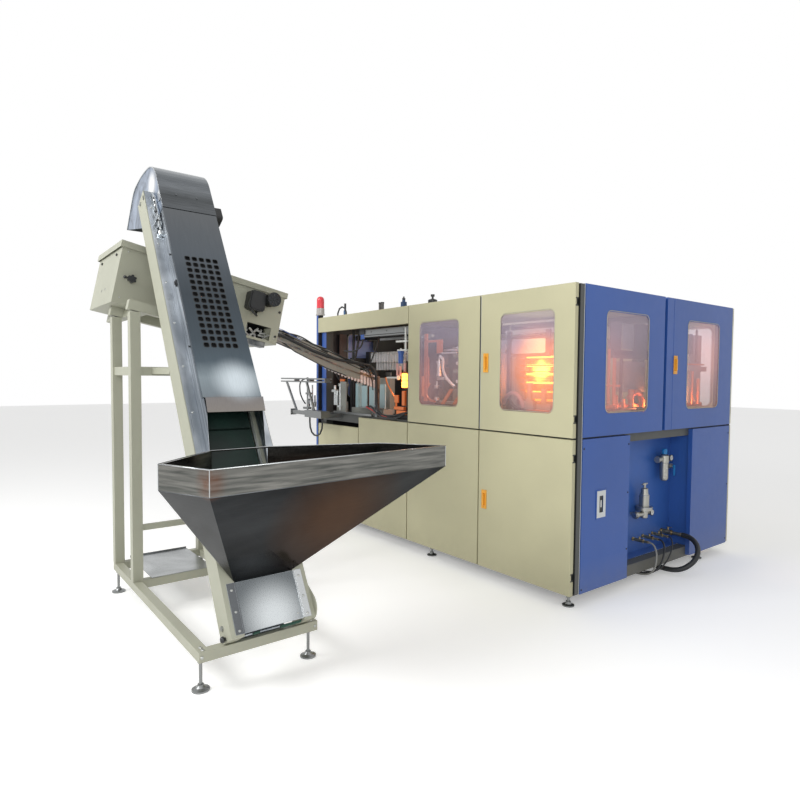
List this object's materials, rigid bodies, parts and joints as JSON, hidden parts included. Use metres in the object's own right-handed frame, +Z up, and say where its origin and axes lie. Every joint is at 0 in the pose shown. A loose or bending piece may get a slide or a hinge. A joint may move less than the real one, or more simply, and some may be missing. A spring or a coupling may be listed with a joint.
{
  "type": "blow moulding machine",
  "caption": "Stretch blow moulding machine in a beige and blue cabinet, with a preform hopper, cleated elevator, sorter box and chute",
  "frame": {"origin": "middle of the sole of the levelling foot under the near corner of the cabinet", "axes": "X runs to the right along the beige front, Y into the machine along the blue end, Z up; the feeder stands at negative Y"},
  "size_m": [3.8691, 4.62, 2.8394],
  "materials": {
    "frame_grey": "dark grey powder coat, slightly dusty",
    "foot_black": "black pad with dull steel rod",
    "beige_paint": "beige powder coat, satin",
    "blue_paint": "blue powder coat, satin",
    "tinted_glass": "tinted clear plastic pane",
    "amber_plastic": "amber plastic pull handle",
    "valve_metal": "cast alloy, matt",
    "brass": "dull plated brass fittings",
    "blue_plastic": "blue plastic",
    "black_rubber": "black hose rubber",
    "grey_rubber": "grey hose",
    "beacon_red": "red translucent dome on a grey base",
    "machine_steel": "grey painted machine steel",
    "roller_steel": "turned steel",
    "lamp_glass": "glowing heater tubes",
    "stainless": "bright stainless sheet",
    "preform_clear": "clear moulded preforms",
    "aluminium": "extruded aluminium",
    "feeder_paint": "beige paint, satin",
    "belt_green": "dark green conveyor belt",
    "hopper_stainless": "satin stainless sheet, brushed, welded corners",
    "black_plastic": "black moulded plastic",
    "motor_grey": "dark grey motor paint"
  },
  "bodies": {
    "machine": {"cabinet_frame": "frame_grey", "levelling_feet": "foot_black", "roof_panels": "beige_paint", "front_panels": "beige_paint", "end_panels": "blue_paint", "niche_box": "blue_paint", "rear_panels": "beige_paint", "left_end_panels": "blue_paint", "air_regulators": "valve_metal", "air_manifold": "brass", "hose_main": "black_rubber", "hose_grey": "grey_rubber", "hose_black": "black_rubber", "hose_thin": "black_rubber", "beacon": "beacon_red", "roof_valves": "valve_metal", "machine_bed": "machine_steel", "oven_housing": "machine_steel", "oven_lamps": "lamp_glass", "preform_chute": "stainless", "preforms": "preform_clear", "outfeed_rack": "aluminium", "bay_cables": "black_rubber", "feeder_frame": "feeder_paint", "shelf_plate": "stainless", "elevator_stringers": "feeder_paint", "elevator_casing": "stainless", "elevator_cover": "stainless", "elevator_hood": "stainless", "elevator_belt": "belt_green", "hopper": "hopper_stainless", "sorter_box": "feeder_paint", "sorter_motors": "motor_grey"},
    "door_front_left": {"front_door_left": "beige_paint", "front_window_left": "tinted_glass"},
    "door_front_right": {"front_door_right": "beige_paint", "front_window_right": "tinted_glass", "front_handle": "amber_plastic"},
    "door_lower": {"lower_door": "beige_paint", "lower_handle": "amber_plastic"},
    "door_end_left": {"end_door_left": "blue_paint", "end_window_left": "tinted_glass"},
    "door_end_right": {"end_door_right": "blue_paint", "end_window_right": "tinted_glass", "end_handle": "amber_plastic"},
    "door_rear_main": {"rear_door_main": "beige_paint", "rear_window_main": "tinted_glass"},
    "door_rear_bay": {"rear_door_bay": "beige_paint", "rear_window_bay": "tinted_glass"},
    "knob_regulator": {"regulator_knob": "blue_plastic"},
    "handle_tee": {"tee_handle": "valve_metal"},
    "lever_valve": {"valve_lever": "blue_plastic"},
    "platen": {"moving_platen": "machine_steel"},
    "carriage": {"stretch_carriage": "roller_steel"},
    "roller_head": {"head_roller": "roller_steel"},
    "roller_tail": {"tail_roller": "roller_steel"},
    "knob_sorter": {"sorter_knob": "black_plastic"},
    "roller_a": {"sorter_roller_a": "roller_steel"},
    "roller_b": {"sorter_roller_b": "roller_steel"},
    "kicker": {"kicker_wheel": "black_plastic"}
  },
  "joints": [
    {"name": "front_left_hinge", "type": "hinge", "parent": "machine", "child": "door_front_left", "pos_m": [-1.621, -0.064, 1.6], "axis": [0, 0, -1], "range_deg": [0, 95]},
    {"name": "front_right_hinge", "type": "hinge", "parent": "machine", "child": "door_front_right", "pos_m": [0.055, -0.064, 1.6], "axis": [0, 0, 1], "range_deg": [0, 95]},
    {"name": "lower_hinge", "type": "hinge", "parent": "machine", "child": "door_lower", "pos_m": [0.055, -0.064, 0.6], "axis": [0, 0, 1], "range_deg": [0, 90]},
    {"name": "end_left_hinge", "type": "hinge", "parent": "machine", "child": "door_end_left", "pos_m": [0.064, 0.027, 1.6], "axis": [0, 0, -1], "range_deg": [0, 95]},
    {"name": "end_right_hinge", "type": "hinge", "parent": "machine", "child": "door_end_right", "pos_m": [0.064, 2.081, 1.6], "axis": [0, 0, 1], "range_deg": [0, 95]},
    {"name": "rear_main_hinge", "type": "hinge", "parent": "machine", "child": "door_rear_main", "pos_m": [0.055, 2.126, 1.6], "axis": [0, 0, -1], "range_deg": [0, 95]},
    {"name": "rear_bay_hinge", "type": "hinge", "parent": "machine", "child": "door_rear_bay", "pos_m": [-3.142, 2.126, 1.6], "axis": [0, 0, 1], "range_deg": [0, 95]},
    {"name": "regulator_turn", "type": "hinge", "parent": "machine", "child": "knob_regulator", "pos_m": [-0.062, 1.286, 0.905], "axis": [0, 0, 1], "range_deg": [-180, 180]},
    {"name": "tee_turn", "type": "hinge", "parent": "machine", "child": "handle_tee", "pos_m": [-0.062, 1.006, 0.64], "axis": [0, 0, 1], "range_deg": [-180, 180]},
    {"name": "valve_turn", "type": "hinge", "parent": "machine", "child": "lever_valve", "pos_m": [-0.03, 1.364, 0.8], "axis": [1, 0, 0], "range_deg": [0, 90]},
    {"name": "clamp_slide", "type": "slide", "parent": "machine", "child": "platen", "axis": [0, 1, 0], "range_m": [0, 0.1095]},
    {"name": "stretch_slide", "type": "slide", "parent": "machine", "child": "carriage", "axis": [0, 0, -1], "range_m": [0, 0.12]},
    {"name": "head_turn", "type": "hinge", "parent": "machine", "child": "roller_head", "pos_m": [-1.73626, -1.9665, 2.5884], "axis": [0, 1, 0], "continuous": true},
    {"name": "tail_turn", "type": "hinge", "parent": "machine", "child": "roller_tail", "pos_m": [-0.368, -1.9665, 0.284], "axis": [0, 1, 0], "continuous": true},
    {"name": "sorter_knob_turn", "type": "hinge", "parent": "machine", "child": "knob_sorter", "pos_m": [-1.816, -2.22981, 2.11575], "axis": [1, 0, 0], "range_deg": [-90, 90]},
    {"name": "roller_a_turn", "type": "hinge", "parent": "machine", "child": "roller_a", "pos_m": [-2.2075, -2.32848, 2.07271], "axis": [0, 0.9796, -0.2011], "continuous": true},
    {"name": "roller_b_turn", "type": "hinge", "parent": "machine", "child": "roller_b", "pos_m": [-2.1045, -2.32848, 2.07271], "axis": [0, 0.9796, -0.2011], "continuous": true},
    {"name": "kicker_turn", "type": "hinge", "parent": "machine", "child": "kicker", "pos_m": [-1.826, -1.3857, 2.04048], "axis": [1, 0, 0], "continuous": true}
  ],
  "couplings": [
    {"joint": "tail_turn", "follows": "head_turn", "ratio": 1},
    {"joint": "roller_b_turn", "follows": "roller_a_turn", "ratio": -1}
  ]
}
